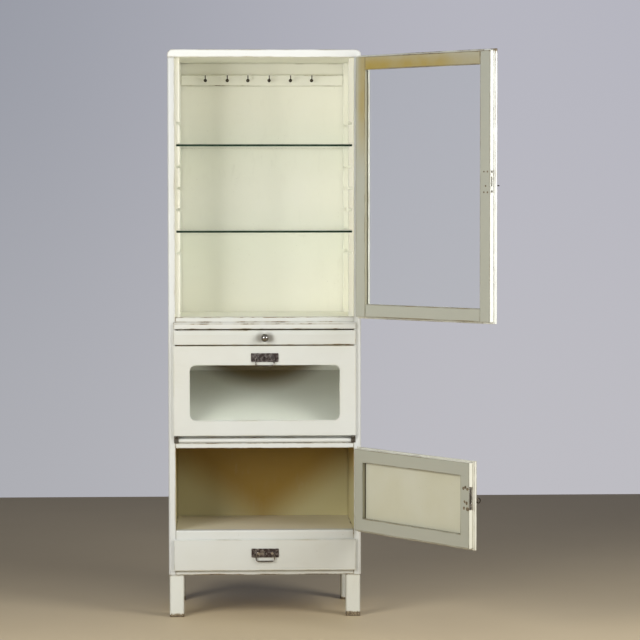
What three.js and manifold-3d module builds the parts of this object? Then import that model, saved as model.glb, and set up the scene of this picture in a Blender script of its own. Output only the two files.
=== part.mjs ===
// Medical cabinet: a painted wooden carcass on four square legs, with a glazed upper door, a pull-out board,
// a glazed drop flap, a panelled lower door and a drawer. Both doors stand open.
// Millimetres, +Z up. The origin is on the floor under the middle of the carcass, and the front faces -Y.
import * as THREE from "three";
import { mergeVertices } from "three/addons/utils/BufferGeometryUtils.js";
import Module from "manifold-3d";

// Carcass boards
const CARCASS_WIDTH = 550;
const CARCASS_DEPTH = 360;
const SIDE_THICKNESS = 20;
const TOP_THICKNESS = 22;
const BACK_THICKNESS = 8;
const BOTTOM_THICKNESS = 16.5;
const FLOOR_THICKNESS = 20;
const FRONT_RAIL_DEPTH = 22;
const SIDE_EDGE_ROUND = 7;
const TOP_CORNER_ROUND = 15;
const FLOOR_EDGE_ROUND = 5;
const SLOPE_SETBACK = 16;
const SLOPE_FRONT_RISE = 36;
const SLOPE_REAR_RISE = 172;

// Legs
const LEG_HEIGHT = 121;
const LEG_SIZE = 41;
const LEG_INSET = 2;
const LEG_EDGE_ROUND = 6;

// Heights of the front, from the bottom up
const DRAWER_OPENING_HEIGHT = 82;
const LOWER_FLOOR_RAIL_HEIGHT = 29.5;
const LOWER_OPENING_HEIGHT = 236;
const MIDDLE_RAIL_HEIGHT = 14;
const MIDDLE_GROOVE_HEIGHT = 1;
const ROUND_RAIL_HEIGHT = 12.6;
const FLAP_GAP = 8.4;
const FLAP_HEIGHT = 256.4;
const FRONT_GAP = 3.4;
const PULLOUT_FRONT_HEIGHT = 41.4;
const LEDGE_HEIGHT = 19.6;
const LEDGE_STRIP_HEIGHT = 14.3;
const LEDGE_CHAMFER = 4.5;
const UPPER_OPENING_HEIGHT = 738.5;

// Lipped fronts: the lip laps over the carcass, the body stands in the opening
const LIP_THICKNESS = 8.1;
const LIP_GAP = 0.4;
const LIP_SIDE_LAP = 5;
const LIP_END_LAP = 3.5;
const BODY_THICKNESS = 13.4;
const BODY_CLEARANCE = 1.5;
const UPPER_DOOR_OPEN_DEGREES = 132.7;
const LOWER_DOOR_OPEN_DEGREES = 124.4;

// Glass, the lower door's panel and the flap's window
const GLASS_THICKNESS = 3;
const GLASS_SETBACK = 6;
const PANEL_THICKNESS = 5;
const PANEL_SETBACK = 3.5;
const GROOVE_DEPTH = 6;
const WINDOW_WIDTH = 428;
const WINDOW_HEIGHT = 158;
const WINDOW_RISE = 43.6;
const WINDOW_ROUND = 17;

// Door hinges: two knuckles on a pin, each with a plate let into the wood
const KNUCKLE_RADIUS = 4;
const KNUCKLE_LENGTH = 28;
const HINGE_STANDOFF = 1;
const HINGE_PIN_RADIUS = 2;
const HINGE_PIN_SHORTFALL = 4;
const HINGE_PLATE_THICKNESS = 1.6;
const HINGE_PLATE_DEPTH = 20;
const HINGE_PLATE_MARGIN = 2;
const UPPER_HINGE_INSET = 120;
const LOWER_HINGE_INSET = 55;

// Flap hinges, in the gap under the flap
const FLAP_KNUCKLE_WIDTH = 6.2;
const FLAP_KNUCKLE_CLEARANCE = 0.6;
const FLAP_HINGE_INSET = 1;
const FLAP_PIN_RADIUS = 1.6;
const FLAP_PLATE_THICKNESS = 2;
const FLAP_STEM_LENGTH = 14;

// Door locks, with their bolts and keys
const FOREND_HEIGHT = 62;
const FOREND_WIDTH = 10.5;
const FOREND_THICKNESS = 2;
const LOCK_CASE_HEIGHT = 50;
const LOCK_CASE_THICKNESS = 8.6;
const LOCK_WALL = 2.5;
const STILE_WALL = 5.5;
const BOLT_HEIGHT = 26;
const BOLT_THICKNESS = 4.5;
const BOLT_LENGTH = 14;
const BOLT_RECESS = 3;
const BOLT_THROW = 8;
const STRIKE_CLEARANCE = 1;
const KEY_DROP = 11;
const KEY_SHAFT_RADIUS = 2;
const KEY_BIT_REACH = 6;
const KEY_BIT_WIDTH = 2.5;
const KEY_BIT_LENGTH = 5;
const KEY_STANDOUT = 24.5;
const KEY_BOW_RADIUS = 6.5;
const KEY_BOW_WIRE_RADIUS = 1.6;
const UPPER_KEY_TURN_DEGREES = 90;
const LOWER_KEY_TURN_DEGREES = 0;
const UPPER_LOCK_RISE = 383;
const LOWER_LOCK_RISE = 138;

// Notched racks, glass shelves and the hook rail inside the upper compartment
const RACK_THICKNESS = 14;
const RACK_WIDTH = 20;
const FRONT_RACK_SETBACK = 20;
const REAR_RACK_GAP = 6;
const NOTCH_PITCH = 61.5;
const NOTCH_HEIGHT = 8;
const NOTCH_DEPTH = 10;
const FIRST_NOTCH_RISE = 178.5;
const LAST_NOTCH_DROP = 180;
const SHELF_THICKNESS = 6;
const SHELF_END_GAP = 0.5;
const SHELF_SETBACK = 2;
const LOWER_SHELF_NOTCH = 1;
const UPPER_SHELF_NOTCH = 5;
const HOOK_RAIL_HEIGHT = 33;
const HOOK_RAIL_THICKNESS = 14;
const HOOK_RAIL_DROP = 35;

// Pull-out board and its grooved runners
const PULLOUT_CHAMFER_HEIGHT = 12.3;
const PULLOUT_CHAMFER_DEPTH = 3;
const PULLOUT_BOARD_THICKNESS = 18;
const PULLOUT_BOARD_RISE = 4.2;
const PULLOUT_REAR_GAP = 12;
const RUNNER_WIDTH = 20;
const RUNNER_GROOVE_DEPTH = 12;
const RUNNER_WALL = 12;
const RUNNER_SETBACK = 30;
const KNOB_RADIUS = 12;
const KNOB_BASE_RADIUS = 9;
const KNOB_BASE_THICKNESS = 2;
const KNOB_NECK_RADIUS = 5;
const KNOB_NECK_LENGTH = 6;

// Drawer box
const DRAWER_SIDE_THICKNESS = 10;
const DRAWER_SIDE_HEIGHT = 74;
const DRAWER_SIDE_CLEARANCE = 2.5;
const DRAWER_BOTTOM_THICKNESS = 5;
const DRAWER_BOTTOM_RISE = 5;
const DRAWER_REAR_GAP = 7;

// Bail handles on their plates
const PLATE_WIDTH = 78;
const PLATE_HEIGHT = 25;
const PLATE_THICKNESS = 2;
const PLATE_ROUND = 2;
const POST_SPACING = 40;
const POST_RADIUS = 4;
const POST_LENGTH = 8.5;
const BAIL_WIRE_RADIUS = 1.8;
const BAIL_SIDE_GAP = 0.4;
const BAIL_DROP = 23;
const BAIL_BEND = 7;
const KEYHOLE_RADIUS = 2.6;
const KEYHOLE_SLOT_WIDTH = 2.4;
const KEYHOLE_SLOT_LENGTH = 7;
const FLAP_PLATE_DROP = 33;
const DRAWER_PLATE_RISE = 50.7;

// Clearances and facets
const SEAT_GAP = 0.3;
const CUT_OVERRUN = 1;
const MERGE_TOLERANCE = 1e-4;
const ARC_SEGMENTS = 5;
const ROD_SEGMENTS = 16;
const WIRE_SEGMENTS = 8;
const BOW_SEGMENTS = 18;
const BAIL_STEPS = 30;
const KNOB_SEGMENTS = 20;

// Planes and levels that the pieces share
const halfWidth = CARCASS_WIDTH / 2;
const innerHalf = halfWidth - SIDE_THICKNESS;
const front = -CARCASS_DEPTH / 2;
const rear = CARCASS_DEPTH / 2;
const backFace = rear - BACK_THICKNESS;

const bottomTop = LEG_HEIGHT + BOTTOM_THICKNESS;
const drawerOpeningTop = bottomTop + DRAWER_OPENING_HEIGHT;
const lowerFloorTop = drawerOpeningTop + LOWER_FLOOR_RAIL_HEIGHT;
const lowerOpeningTop = lowerFloorTop + LOWER_OPENING_HEIGHT;
const roundRailBottom = lowerOpeningTop + MIDDLE_RAIL_HEIGHT + MIDDLE_GROOVE_HEIGHT;
const middleTop = roundRailBottom + ROUND_RAIL_HEIGHT;
const flapBottom = middleTop + FLAP_GAP;
const flapTop = flapBottom + FLAP_HEIGHT;
const pulloutBottom = flapTop + FRONT_GAP;
const pulloutTop = pulloutBottom + PULLOUT_FRONT_HEIGHT;
const ledgeBottom = pulloutTop + FRONT_GAP;
const ledgeTop = ledgeBottom + LEDGE_HEIGHT;
const upperFloorTop = ledgeTop + LEDGE_STRIP_HEIGHT;
const ceiling = upperFloorTop + UPPER_OPENING_HEIGHT;
const carcassTop = ceiling + TOP_THICKNESS;

const lipRear = front - LIP_GAP;
const lipFront = lipRear - LIP_THICKNESS;
const bodyRear = lipRear + BODY_THICKNESS;
const lipHalf = innerHalf + LIP_SIDE_LAP;
const bodyHalf = innerHalf - BODY_CLEARANCE;
const glassFront = lipFront + GLASS_SETBACK;
const panelFront = lipFront + PANEL_SETBACK;

const hingeX = lipHalf + SEAT_GAP + KNUCKLE_RADIUS;
const hingeY = front - HINGE_STANDOFF - KNUCKLE_RADIUS;
const flapHingeY = (lipFront + lipRear) / 2;
const flapHingeZ = (middleTop + flapBottom) / 2;

const lockEdge = -bodyHalf;
const lockY = (lipRear + bodyRear) / 2;
const keyX = lockEdge + BOLT_LENGTH + LOCK_WALL + KEY_BIT_REACH;
const lockCaseEnd = keyX + KEY_BIT_REACH + LOCK_WALL;
const frameInnerHalf = -lockCaseEnd - STILE_WALL;
const frameWidth = bodyHalf - frameInnerHalf;

const paint = new THREE.MeshStandardMaterial({ color: 0xdcddd0, roughness: 0.45, metalness: 0 });
const innerPaint = new THREE.MeshStandardMaterial({ color: 0xd4d2b4, roughness: 0.5, metalness: 0 });
const bareWood = new THREE.MeshStandardMaterial({ color: 0xb08d5b, roughness: 0.7, metalness: 0 });
const clearGlass = new THREE.MeshStandardMaterial({ color: 0xc9d8d0, roughness: 0.05, metalness: 0 });
const darkMetal = new THREE.MeshStandardMaterial({ color: 0x6d6a63, roughness: 0.4, metalness: 1 });
const brightMetal = new THREE.MeshStandardMaterial({ color: 0xb5b2a6, roughness: 0.25, metalness: 1 });

// Shapes
const wasm = await Module();
wasm.setup();

function solidFrom(geometry) {
  const bare = geometry.clone();
  bare.deleteAttribute("normal");
  bare.deleteAttribute("uv");
  const merged = mergeVertices(bare, MERGE_TOLERANCE);
  const vertProperties = merged.getAttribute("position").array;
  const triVerts = new Uint32Array(merged.index.array);
  return new wasm.Manifold(new wasm.Mesh({ numProp: 3, vertProperties, triVerts }));
}

function geometryFrom(solid) {
  const { vertProperties, triVerts } = solid.getMesh();
  const geometry = new THREE.BufferGeometry();
  geometry.setAttribute("position", new THREE.BufferAttribute(vertProperties, 3));
  geometry.setIndex(new THREE.BufferAttribute(triVerts, 1));
  geometry.computeVertexNormals();
  return geometry;
}

function join(...geometries) {
  return geometryFrom(geometries.map(solidFrom).reduce((whole, piece) => whole.add(piece)));
}

function cut(geometry, ...tools) {
  return geometryFrom(tools.map(solidFrom).reduce((rest, tool) => rest.subtract(tool), solidFrom(geometry)));
}

// A block between two limits on each axis, given in either order.
function block([x0, x1], [y0, y1], [z0, z1]) {
  const geometry = new THREE.BoxGeometry(Math.abs(x1 - x0), Math.abs(y1 - y0), Math.abs(z1 - z0));
  return geometry.translate((x0 + x1) / 2, (y0 + y1) / 2, (z0 + z1) / 2);
}

// The limits of a size centred on a place, with an optional gap on both sides.
function about(centre, size, gap = 0) {
  return [centre - size / 2 - gap, centre + size / 2 + gap];
}

function outline(points) {
  return new THREE.Shape(points.map(([u, v]) => new THREE.Vector2(u, v)));
}

function extruded(shape, depth) {
  return new THREE.ExtrudeGeometry(shape, { depth, bevelEnabled: false, curveSegments: ARC_SEGMENTS });
}

// A (y, z) outline drawn out along X, an (x, z) outline along Y and an (x, y) outline along Z.
function alongX(shape, [x0, x1]) {
  const turn = new THREE.Matrix4().makeBasis(
    new THREE.Vector3(0, 1, 0),
    new THREE.Vector3(0, 0, 1),
    new THREE.Vector3(1, 0, 0),
  );
  return extruded(shape, x1 - x0).applyMatrix4(turn).translate(x0, 0, 0);
}

function alongY(shape, [y0, y1]) {
  return extruded(shape, y1 - y0).rotateX(Math.PI / 2).translate(0, y1, 0);
}

function alongZ(shape, [z0, z1]) {
  return extruded(shape, z1 - z0).translate(0, 0, z0);
}

function roundedRectangle([u0, u1], [v0, v1], radius) {
  const shape = new THREE.Shape();
  shape.absarc(u1 - radius, v0 + radius, radius, -Math.PI / 2, 0);
  shape.absarc(u1 - radius, v1 - radius, radius, 0, Math.PI / 2);
  shape.absarc(u0 + radius, v1 - radius, radius, Math.PI / 2, Math.PI);
  shape.absarc(u0 + radius, v0 + radius, radius, Math.PI, 1.5 * Math.PI);
  return shape;
}

function rodX(radius, [x0, x1], y, z) {
  const rod = new THREE.CylinderGeometry(radius, radius, Math.abs(x1 - x0), ROD_SEGMENTS);
  return rod.rotateZ(Math.PI / 2).translate((x0 + x1) / 2, y, z);
}

function rodY(radius, x, [y0, y1], z) {
  const rod = new THREE.CylinderGeometry(radius, radius, Math.abs(y1 - y0), ROD_SEGMENTS);
  return rod.translate(x, (y0 + y1) / 2, z);
}

function rodZ(radius, x, y, [z0, z1]) {
  const rod = new THREE.CylinderGeometry(radius, radius, Math.abs(z1 - z0), ROD_SEGMENTS);
  return rod.rotateX(Math.PI / 2).translate(x, y, (z0 + z1) / 2);
}

const cabinet = new THREE.Group();

function place(parent, name, geometry, material) {
  const mesh = new THREE.Mesh(geometry, material);
  mesh.name = name;
  parent.add(mesh);
}

// A door's pieces are drawn as if it were closed. This group swings them open round the hinge axis.
function swungGroup(degrees) {
  const turned = new THREE.Group();
  turned.position.set(hingeX, hingeY, 0);
  turned.rotation.z = THREE.MathUtils.degToRad(degrees);
  const closed = new THREE.Group();
  closed.position.set(-hingeX, -hingeY, 0);
  turned.add(closed);
  cabinet.add(turned);
  return closed;
}

const upperDoor = swungGroup(UPPER_DOOR_OPEN_DEGREES);
const lowerDoor = swungGroup(LOWER_DOOR_OPEN_DEGREES);

// A lipped board: its lip laps over the carcass and its body stands in the opening behind the lip.
function lippedBoard(lipX, lipZ, bodyX, bodyZ) {
  const lip = block(lipX, [lipFront, lipRear], lipZ);
  const body = block(bodyX, [lipRear - LIP_THICKNESS / 2, bodyRear], bodyZ);
  return join(lip, body);
}

// A door hinge at a height: both halves, and the slots that their plates need.
function doorHinge(z) {
  const lower = [z - SEAT_GAP / 2 - KNUCKLE_LENGTH, z - SEAT_GAP / 2];
  const upper = [z + SEAT_GAP / 2, z + SEAT_GAP / 2 + KNUCKLE_LENGTH];
  const pinTop = upper[1] - HINGE_PIN_SHORTFALL;
  const inset = ([low, high]) => [low + HINGE_PLATE_MARGIN, high - HINGE_PLATE_MARGIN];
  const wider = ([low, high]) => [low - SEAT_GAP, high + SEAT_GAP];
  const frameEnd = front + HINGE_PLATE_DEPTH;
  const doorEnd = lipHalf - HINGE_PLATE_DEPTH;
  const framePlate = block(about(hingeX, HINGE_PLATE_THICKNESS), [hingeY, frameEnd], inset(lower));
  const doorPlate = block([doorEnd, hingeX], about(hingeY, HINGE_PLATE_THICKNESS), inset(upper));
  const bore = rodZ(HINGE_PIN_RADIUS + SEAT_GAP, hingeX, hingeY, [z - CUT_OVERRUN, pinTop + SEAT_GAP]);
  return {
    frameHalf: join(
      rodZ(KNUCKLE_RADIUS, hingeX, hingeY, lower),
      rodZ(HINGE_PIN_RADIUS, hingeX, hingeY, [z - KNUCKLE_LENGTH / 2, pinTop]),
      framePlate,
    ),
    doorHalf: cut(join(rodZ(KNUCKLE_RADIUS, hingeX, hingeY, upper), doorPlate), bore),
    frameSlot: block(
      about(hingeX, HINGE_PLATE_THICKNESS, SEAT_GAP),
      [front - CUT_OVERRUN, frameEnd + SEAT_GAP],
      wider(inset(lower)),
    ),
    doorSlot: block(
      [doorEnd - SEAT_GAP, lipHalf + CUT_OVERRUN],
      about(hingeY, HINGE_PLATE_THICKNESS, SEAT_GAP),
      wider(inset(upper)),
    ),
  };
}

const upperHinges = [ceiling - UPPER_HINGE_INSET, upperFloorTop + UPPER_HINGE_INSET].map(doorHinge);
const lowerHinges = [lowerOpeningTop - LOWER_HINGE_INSET, lowerFloorTop + LOWER_HINGE_INSET].map(doorHinge);

// A mortise lock in the free edge of a door: the lock, its bolt and key, and the cuts that take them.
// The bolt is drawn back in the forend, and the key stands turned about its shaft.
function doorLock(z, keyTurnDegrees) {
  const keyZ = z - KEY_DROP;
  const forendX = [lockEdge, lockEdge + FOREND_THICKNESS];
  const caseX = [lockEdge, lockCaseEnd];
  const boltX = [lockEdge + BOLT_RECESS, lockEdge + BOLT_LENGTH];
  const bitY = about(lockY, KEY_BIT_LENGTH);
  const keyholeRadius = KEY_SHAFT_RADIUS + SEAT_GAP;
  const channel = block(
    [lockEdge - CUT_OVERRUN, boltX[1] + SEAT_GAP],
    about(lockY, BOLT_THICKNESS, SEAT_GAP),
    about(z, BOLT_HEIGHT, SEAT_GAP),
  );
  const chamber = rodY(KEY_BIT_REACH + SEAT_GAP, keyX, about(lockY, KEY_BIT_LENGTH, SEAT_GAP), keyZ);
  const keyhole = rodY(keyholeRadius, keyX, [lipFront - CUT_OVERRUN, lockY], keyZ);
  const housing = join(
    block(forendX, about(lockY, FOREND_WIDTH), about(z, FOREND_HEIGHT)),
    block(caseX, about(lockY, LOCK_CASE_THICKNESS), about(z, LOCK_CASE_HEIGHT)),
  );
  const pocket = join(
    block(
      [lockEdge - CUT_OVERRUN, forendX[1] + SEAT_GAP],
      about(lockY, FOREND_WIDTH, SEAT_GAP),
      about(z, FOREND_HEIGHT, SEAT_GAP),
    ),
    block(
      [lockEdge - CUT_OVERRUN, caseX[1] + SEAT_GAP],
      about(lockY, LOCK_CASE_THICKNESS, SEAT_GAP),
      about(z, LOCK_CASE_HEIGHT, SEAT_GAP),
    ),
  );
  const bowY = lipFront - KEY_STANDOUT - KEY_BOW_RADIUS;
  const bow = new THREE.TorusGeometry(KEY_BOW_RADIUS, KEY_BOW_WIRE_RADIUS, WIRE_SEGMENTS, BOW_SEGMENTS);
  const key = join(
    rodY(KEY_SHAFT_RADIUS, 0, [lipFront - KEY_STANDOUT, bitY[1]], 0),
    block(about(0, KEY_BIT_WIDTH), bitY, [-KEY_BIT_REACH, 0]),
    bow.rotateY(Math.PI / 2).translate(0, bowY, 0),
  );
  key.rotateY(THREE.MathUtils.degToRad(keyTurnDegrees)).translate(keyX, 0, keyZ);
  const strikeDepth = BOLT_THROW - BODY_CLEARANCE + STRIKE_CLEARANCE;
  return {
    lock: cut(housing, channel, chamber, keyhole),
    bolt: block(boltX, about(lockY, BOLT_THICKNESS), about(z, BOLT_HEIGHT)),
    key,
    pocket,
    keyhole,
    strike: block(
      [-innerHalf - strikeDepth, -innerHalf + CUT_OVERRUN],
      about(lockY, BOLT_THICKNESS, STRIKE_CLEARANCE),
      about(z, BOLT_HEIGHT, STRIKE_CLEARANCE),
    ),
  };
}

const upperLock = doorLock(upperFloorTop + UPPER_LOCK_RISE, UPPER_KEY_TURN_DEGREES);
const lowerLock = doorLock(lowerFloorTop + LOWER_LOCK_RISE, LOWER_KEY_TURN_DEGREES);

// Side panels, from the legs up to the top board, with the outer front edge rounded
function sidePanel(side) {
  const plan = new THREE.Shape();
  plan.moveTo(side * innerHalf, rear);
  plan.lineTo(side * innerHalf, front);
  plan.lineTo(side * (halfWidth - SIDE_EDGE_ROUND), front);
  const corner = [side * (halfWidth - SIDE_EDGE_ROUND), front + SIDE_EDGE_ROUND];
  plan.absarc(...corner, SIDE_EDGE_ROUND, -Math.PI / 2, side > 0 ? 0 : -Math.PI, side < 0);
  plan.lineTo(side * halfWidth, rear);
  return alongZ(plan, [LEG_HEIGHT, ceiling]);
}

const frameSlots = [...upperHinges, ...lowerHinges].map((hinge) => hinge.frameSlot);
place(cabinet, "side_panel_left", cut(sidePanel(-1), upperLock.strike, lowerLock.strike), paint);
place(cabinet, "side_panel_right", cut(sidePanel(1), ...frameSlots), paint);

// Top board, over the side panels, with rounded upper corners
const topOutline = new THREE.Shape();
topOutline.moveTo(-halfWidth, ceiling);
topOutline.lineTo(halfWidth, ceiling);
const topArcZ = carcassTop - TOP_CORNER_ROUND;
topOutline.absarc(halfWidth - TOP_CORNER_ROUND, topArcZ, TOP_CORNER_ROUND, 0, Math.PI / 2);
topOutline.absarc(TOP_CORNER_ROUND - halfWidth, topArcZ, TOP_CORNER_ROUND, Math.PI / 2, Math.PI);
place(cabinet, "top_board", alongY(topOutline, [front, rear]), paint);

// Boards between the side panels
const between = [-innerHalf, innerHalf];
const railRear = front + FRONT_RAIL_DEPTH;
place(cabinet, "bottom_board", block(between, [front, backFace], [LEG_HEIGHT, bottomTop]), paint);
place(cabinet, "back_panel", block(between, [backFace, rear], [LEG_HEIGHT, ceiling]), innerPaint);

const lowerFloorOutline = outline([
  [front, drawerOpeningTop],
  [railRear, drawerOpeningTop],
  [railRear, lowerFloorTop - FLOOR_THICKNESS],
  [backFace, lowerFloorTop - FLOOR_THICKNESS],
  [backFace, lowerFloorTop],
]);
const floorArc = [front + FLOOR_EDGE_ROUND, lowerFloorTop - FLOOR_EDGE_ROUND];
lowerFloorOutline.absarc(...floorArc, FLOOR_EDGE_ROUND, Math.PI / 2, Math.PI);
place(cabinet, "lower_floor_board", alongX(lowerFloorOutline, between), innerPaint);

// The middle board carries a plain rail under a rounded one. Behind the flap it slopes up to the back panel.
const railRound = ROUND_RAIL_HEIGHT / 2;
const slopeFront = front + SLOPE_SETBACK;
const slopeBeamRear = slopeFront + FLOOR_THICKNESS;
const slopeFoot = middleTop + SLOPE_FRONT_RISE;
const slopeHead = middleTop + SLOPE_REAR_RISE;
const middleOutline = outline([
  [front, lowerOpeningTop],
  [slopeBeamRear, lowerOpeningTop],
  [slopeBeamRear, slopeFoot - FLOOR_THICKNESS],
  [backFace, slopeHead - FLOOR_THICKNESS],
  [backFace, slopeHead],
  [slopeFront, slopeFoot],
  [slopeFront, middleTop],
]);
middleOutline.absarc(front + railRound, middleTop - railRound, railRound, Math.PI / 2, 1.5 * Math.PI);
middleOutline.lineTo(front + railRound, roundRailBottom - MIDDLE_GROOVE_HEIGHT);
middleOutline.lineTo(front, roundRailBottom - MIDDLE_GROOVE_HEIGHT);
place(cabinet, "middle_board", alongX(middleOutline, between), paint);

// The upper floor board ends in a strip behind the door and a ledge that laps over the side panels.
const upperFloorOutline = outline([
  [lipRear, ledgeBottom],
  [railRear, ledgeBottom],
  [railRear, upperFloorTop - FLOOR_THICKNESS],
  [backFace, upperFloorTop - FLOOR_THICKNESS],
  [backFace, upperFloorTop],
  [front, upperFloorTop],
  [front, ledgeTop],
  [lipRear, ledgeTop],
]);
const ledgeOutline = outline([
  [lipFront, ledgeBottom],
  [front, ledgeBottom],
  [front, ledgeTop],
  [lipFront + LEDGE_CHAMFER, ledgeTop],
  [lipFront, ledgeTop - LEDGE_CHAMFER],
]);
const ledge = alongX(ledgeOutline, [-lipHalf, lipHalf]);
place(cabinet, "upper_floor_board", join(alongX(upperFloorOutline, between), ledge), innerPaint);

// Square legs with rounded edges, under the corners of the carcass
for (const [sideName, side] of [["left", -1], ["right", 1]]) {
  for (const [endName, end] of [["front", -1], ["rear", 1]]) {
    const x = side * (halfWidth - LEG_INSET - LEG_SIZE / 2);
    const y = end * (rear - LEG_INSET - LEG_SIZE / 2);
    const plan = roundedRectangle(about(x, LEG_SIZE), about(y, LEG_SIZE), LEG_EDGE_ROUND);
    place(cabinet, `leg_${endName}_${sideName}`, alongZ(plan, [0, LEG_HEIGHT]), paint);
  }
}

// Notched racks up both side walls, with two glass shelves in their notches
const notchSpan = UPPER_OPENING_HEIGHT - FIRST_NOTCH_RISE - LAST_NOTCH_DROP;
const notchCount = Math.floor(notchSpan / NOTCH_PITCH) + 1;
const notchFloor = (index) => upperFloorTop + FIRST_NOTCH_RISE + index * NOTCH_PITCH;
const rackFace = innerHalf - RACK_THICKNESS;
const frontRack = [front + FRONT_RACK_SETBACK, front + FRONT_RACK_SETBACK + RACK_WIDTH];
const rearRack = [backFace - REAR_RACK_GAP - RACK_WIDTH, backFace - REAR_RACK_GAP];
for (const [sideName, side] of [["left", -1], ["right", 1]]) {
  for (const [endName, rackY] of [["front", frontRack], ["rear", rearRack]]) {
    const notchY = [rackY[0] - CUT_OVERRUN, rackY[1] + CUT_OVERRUN];
    const notchX = [side * (rackFace - CUT_OVERRUN), side * (rackFace + NOTCH_DEPTH)];
    const notches = Array.from({ length: notchCount }, (_, index) =>
      block(notchX, notchY, [notchFloor(index), notchFloor(index) + NOTCH_HEIGHT]),
    );
    const strip = block([side * rackFace, side * innerHalf], rackY, [upperFloorTop, ceiling]);
    place(cabinet, `rack_${endName}_${sideName}`, cut(strip, ...notches), innerPaint);
  }
}

const shelfHalf = rackFace + NOTCH_DEPTH - SHELF_END_GAP;
const shelfY = [frontRack[0] + SHELF_SETBACK, rearRack[1] - SHELF_SETBACK];
const shelfNotches = { lower: LOWER_SHELF_NOTCH, upper: Math.min(UPPER_SHELF_NOTCH, notchCount - 1) };
for (const [shelfName, index] of Object.entries(shelfNotches)) {
  const shelfZ = [notchFloor(index), notchFloor(index) + SHELF_THICKNESS];
  place(cabinet, `glass_shelf_${shelfName}`, block([-shelfHalf, shelfHalf], shelfY, shelfZ), clearGlass);
}

const hookRailTop = ceiling - HOOK_RAIL_DROP;
const hookRail = block(
  [-rackFace, rackFace],
  [backFace - HOOK_RAIL_THICKNESS, backFace],
  [hookRailTop - HOOK_RAIL_HEIGHT, hookRailTop],
);
place(cabinet, "hook_rail", hookRail, innerPaint);

// Upper door: two full-height stiles, two rails between them and a pane in their grooves
const upperLipZ = [upperFloorTop - LIP_END_LAP, ceiling + LIP_END_LAP];
const upperBodyZ = [upperFloorTop + BODY_CLEARANCE, ceiling - BODY_CLEARANCE];
const upperPaneZ = [upperBodyZ[0] + frameWidth, upperBodyZ[1] - frameWidth];

// A sheet that fills an opening and its grooves, and the wider cut that makes those grooves.
function sheetIn(openingHalf, [z0, z1], faceY, thickness, gap) {
  const reach = GROOVE_DEPTH - SEAT_GAP + gap;
  const x = openingHalf + reach;
  return block([-x, x], [faceY - gap, faceY + thickness + gap], [z0 - reach, z1 + reach]);
}

const paneGroove = sheetIn(frameInnerHalf, upperPaneZ, glassFront, GLASS_THICKNESS, SEAT_GAP);
const hingeStile = lippedBoard([frameInnerHalf, lipHalf], upperLipZ, [frameInnerHalf, bodyHalf], upperBodyZ);
const lockStileLipX = [-lipHalf, -frameInnerHalf];
const lockStile = lippedBoard(lockStileLipX, upperLipZ, [lockEdge, -frameInnerHalf], upperBodyZ);
const railHalf = frameInnerHalf - SEAT_GAP;
const railX = [-railHalf, railHalf];
const topRail = lippedBoard(railX, [upperPaneZ[1], upperLipZ[1]], railX, [upperPaneZ[1], upperBodyZ[1]]);
const bottomRail = lippedBoard(railX, [upperLipZ[0], upperPaneZ[0]], railX, [upperBodyZ[0], upperPaneZ[0]]);
const upperDoorSlots = upperHinges.map((hinge) => hinge.doorSlot);
place(upperDoor, "upper_door_hinge_stile", cut(hingeStile, paneGroove, ...upperDoorSlots), paint);
const lockStileCuts = [paneGroove, upperLock.pocket, upperLock.keyhole];
place(upperDoor, "upper_door_lock_stile", cut(lockStile, ...lockStileCuts), paint);
place(upperDoor, "upper_door_top_rail", cut(topRail, paneGroove), paint);
place(upperDoor, "upper_door_bottom_rail", cut(bottomRail, paneGroove), paint);
const upperPane = sheetIn(frameInnerHalf, upperPaneZ, glassFront, GLASS_THICKNESS, 0);
place(upperDoor, "upper_door_glass", upperPane, clearGlass);

// Lower door: a frame round a flat panel
const lowerLipZ = [lowerFloorTop - LIP_END_LAP, lowerOpeningTop + LIP_END_LAP];
const lowerBodyZ = [lowerFloorTop + BODY_CLEARANCE, lowerOpeningTop - BODY_CLEARANCE];
const lowerPanelZ = [lowerBodyZ[0] + frameWidth, lowerBodyZ[1] - frameWidth];
const lowerFrame = cut(
  lippedBoard([-lipHalf, lipHalf], lowerLipZ, [-bodyHalf, bodyHalf], lowerBodyZ),
  block([-frameInnerHalf, frameInnerHalf], [lipFront - CUT_OVERRUN, bodyRear + CUT_OVERRUN], lowerPanelZ),
  sheetIn(frameInnerHalf, lowerPanelZ, panelFront, PANEL_THICKNESS, SEAT_GAP),
  lowerLock.pocket,
  lowerLock.keyhole,
  ...lowerHinges.map((hinge) => hinge.doorSlot),
);
place(lowerDoor, "lower_door_frame", lowerFrame, paint);
const lowerPanel = sheetIn(frameInnerHalf, lowerPanelZ, panelFront, PANEL_THICKNESS, 0);
place(lowerDoor, "lower_door_panel", lowerPanel, paint);

// Hinges and locks of both doors
const doors = [
  { name: "upper", group: upperDoor, hinges: upperHinges, fittings: upperLock },
  { name: "lower", group: lowerDoor, hinges: lowerHinges, fittings: lowerLock },
];
for (const { name, group, hinges, fittings } of doors) {
  for (const [index, level] of ["top", "bottom"].entries()) {
    place(cabinet, `${name}_hinge_frame_${level}`, hinges[index].frameHalf, darkMetal);
    place(group, `${name}_hinge_door_${level}`, hinges[index].doorHalf, darkMetal);
  }
  place(group, `${name}_door_lock`, fittings.lock, brightMetal);
  place(group, `${name}_door_bolt`, fittings.bolt, brightMetal);
  place(group, `${name}_door_key`, fittings.key, brightMetal);
}

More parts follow.
